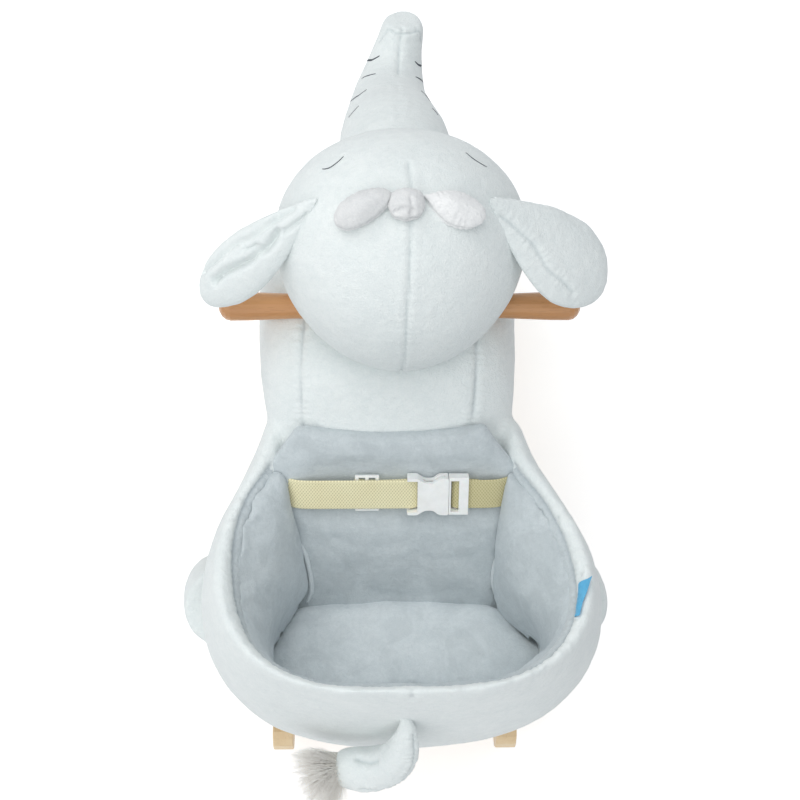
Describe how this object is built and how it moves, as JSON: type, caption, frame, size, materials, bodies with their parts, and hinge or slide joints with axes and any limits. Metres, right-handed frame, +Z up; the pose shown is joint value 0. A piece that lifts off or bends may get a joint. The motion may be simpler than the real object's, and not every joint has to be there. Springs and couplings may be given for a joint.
{
  "type": "rocking animal",
  "caption": "Plush elephant rocker with a padded bucket seat, lap belt and wooden handlebar on curved wooden rockers.",
  "frame": {"origin": "floor level, midway between the rockers, under the middle of the seat and neck", "axes": "+Y towards the trunk (forwards), +X to the rider's right, +Z up"},
  "size_m": [0.3704, 0.6264, 0.53],
  "materials": {
    "plush_white": "short-pile plush, slightly mint white",
    "velvet_grey": "smooth blue-grey velvet",
    "beech_pale": "clear-lacquered pale beech",
    "beech_handle": "satin orange-tan beech",
    "plywood": "sanded plywood",
    "zinc_steel": "zinc plated",
    "webbing_khaki": "woven cream and khaki webbing",
    "white_plastic": "satin white moulded plastic",
    "foam": "open-cell foam block",
    "tuft_fur": "long-pile grey-beige fur",
    "blue_tape": "plain blue woven tape"
  },
  "bodies": {
    "base": {"rocker_left": "beech_pale", "post_rear_left": "beech_pale", "post_front_left": "beech_pale", "rocker_right": "beech_pale", "post_rear_right": "beech_pale", "post_front_right": "beech_pale", "stretcher_rear": "beech_pale", "stretcher_front": "beech_pale", "front_slat": "beech_pale", "footrest": "beech_pale", "deck": "plywood", "bolt_rear_left_1": "zinc_steel", "bolt_rear_left_2": "zinc_steel", "bolt_front_left_1": "zinc_steel", "bolt_front_left_2": "zinc_steel", "bolt_rear_right_1": "zinc_steel", "bolt_rear_right_2": "zinc_steel", "bolt_front_right_1": "zinc_steel", "bolt_front_right_2": "zinc_steel", "screw_slat_left": "zinc_steel", "screw_footrest_left": "zinc_steel", "screw_deck_rear_left": "zinc_steel", "screw_deck_front_left": "zinc_steel", "screw_slat_right": "zinc_steel", "screw_footrest_right": "zinc_steel", "screw_deck_rear_right": "zinc_steel", "screw_deck_front_right": "zinc_steel", "neck_post": "beech_pale", "handle_rod": "zinc_steel", "grip_left": "beech_handle", "grip_right": "beech_handle", "body": "plush_white", "seat_lining": "velvet_grey", "neck": "plush_white", "front_lining": "velvet_grey", "seat_cushion": "velvet_grey", "seat_foam": "foam", "head": "plush_white", "trunk": "plush_white", "hair_left": "plush_white", "hair_middle": "plush_white", "hair_right": "plush_white", "leg_hind_left": "plush_white", "leg_front_left": "plush_white", "leg_hind_right": "plush_white", "leg_front_right": "plush_white", "strap_left": "webbing_khaki", "buckle_socket": "white_plastic", "side_tag": "blue_tape"},
    "ear_left": {"ear_left": "plush_white"},
    "ear_right": {"ear_right": "plush_white"},
    "tail": {"tail": "plush_white", "tail_tuft": "tuft_fur"},
    "tri_glide": {"tri_glide": "white_plastic"},
    "plug": {"buckle_plug": "white_plastic", "strap_right": "webbing_khaki"},
    "prong_lower": {"prong_lower": "white_plastic"},
    "prong_upper": {"prong_upper": "white_plastic"}
  },
  "joints": [
    {"name": "ear_left_lift", "type": "hinge", "parent": "base", "child": "ear_left", "pos_m": [-0.058, 0.055, 0.5], "axis": [0, 1, 0], "range_deg": [0, 20]},
    {"name": "ear_right_lift", "type": "hinge", "parent": "base", "child": "ear_right", "pos_m": [0.058, 0.055, 0.5], "axis": [0, -1, 0], "range_deg": [0, 20]},
    {"name": "tail_swing", "type": "hinge", "parent": "base", "child": "tail", "pos_m": [-0.003, -0.269, 0.34], "axis": [0, -0.9929, 0.1193], "range_deg": [-18, 18]},
    {"name": "glide_slide", "type": "slide", "parent": "base", "child": "tri_glide", "axis": [1, 0, 0], "range_m": [-0.02, 0.01]},
    {"name": "plug_pull", "type": "slide", "parent": "base", "child": "plug", "axis": [1, 0, 0], "range_m": [0, 0.0165]},
    {"name": "prong_lower_press", "type": "hinge", "parent": "plug", "child": "prong_lower", "pos_m": [0.033, -0.10879, 0.32161], "axis": [0, 0.7366, -0.6763], "range_deg": [0, 8], "stiffness_Nm_per_rad": 0.005},
    {"name": "prong_upper_press", "type": "hinge", "parent": "plug", "child": "prong_upper", "pos_m": [0.033, -0.0954, 0.33619], "axis": [0, -0.7366, 0.6763], "range_deg": [0, 8], "stiffness_Nm_per_rad": 0.005}
  ]
}
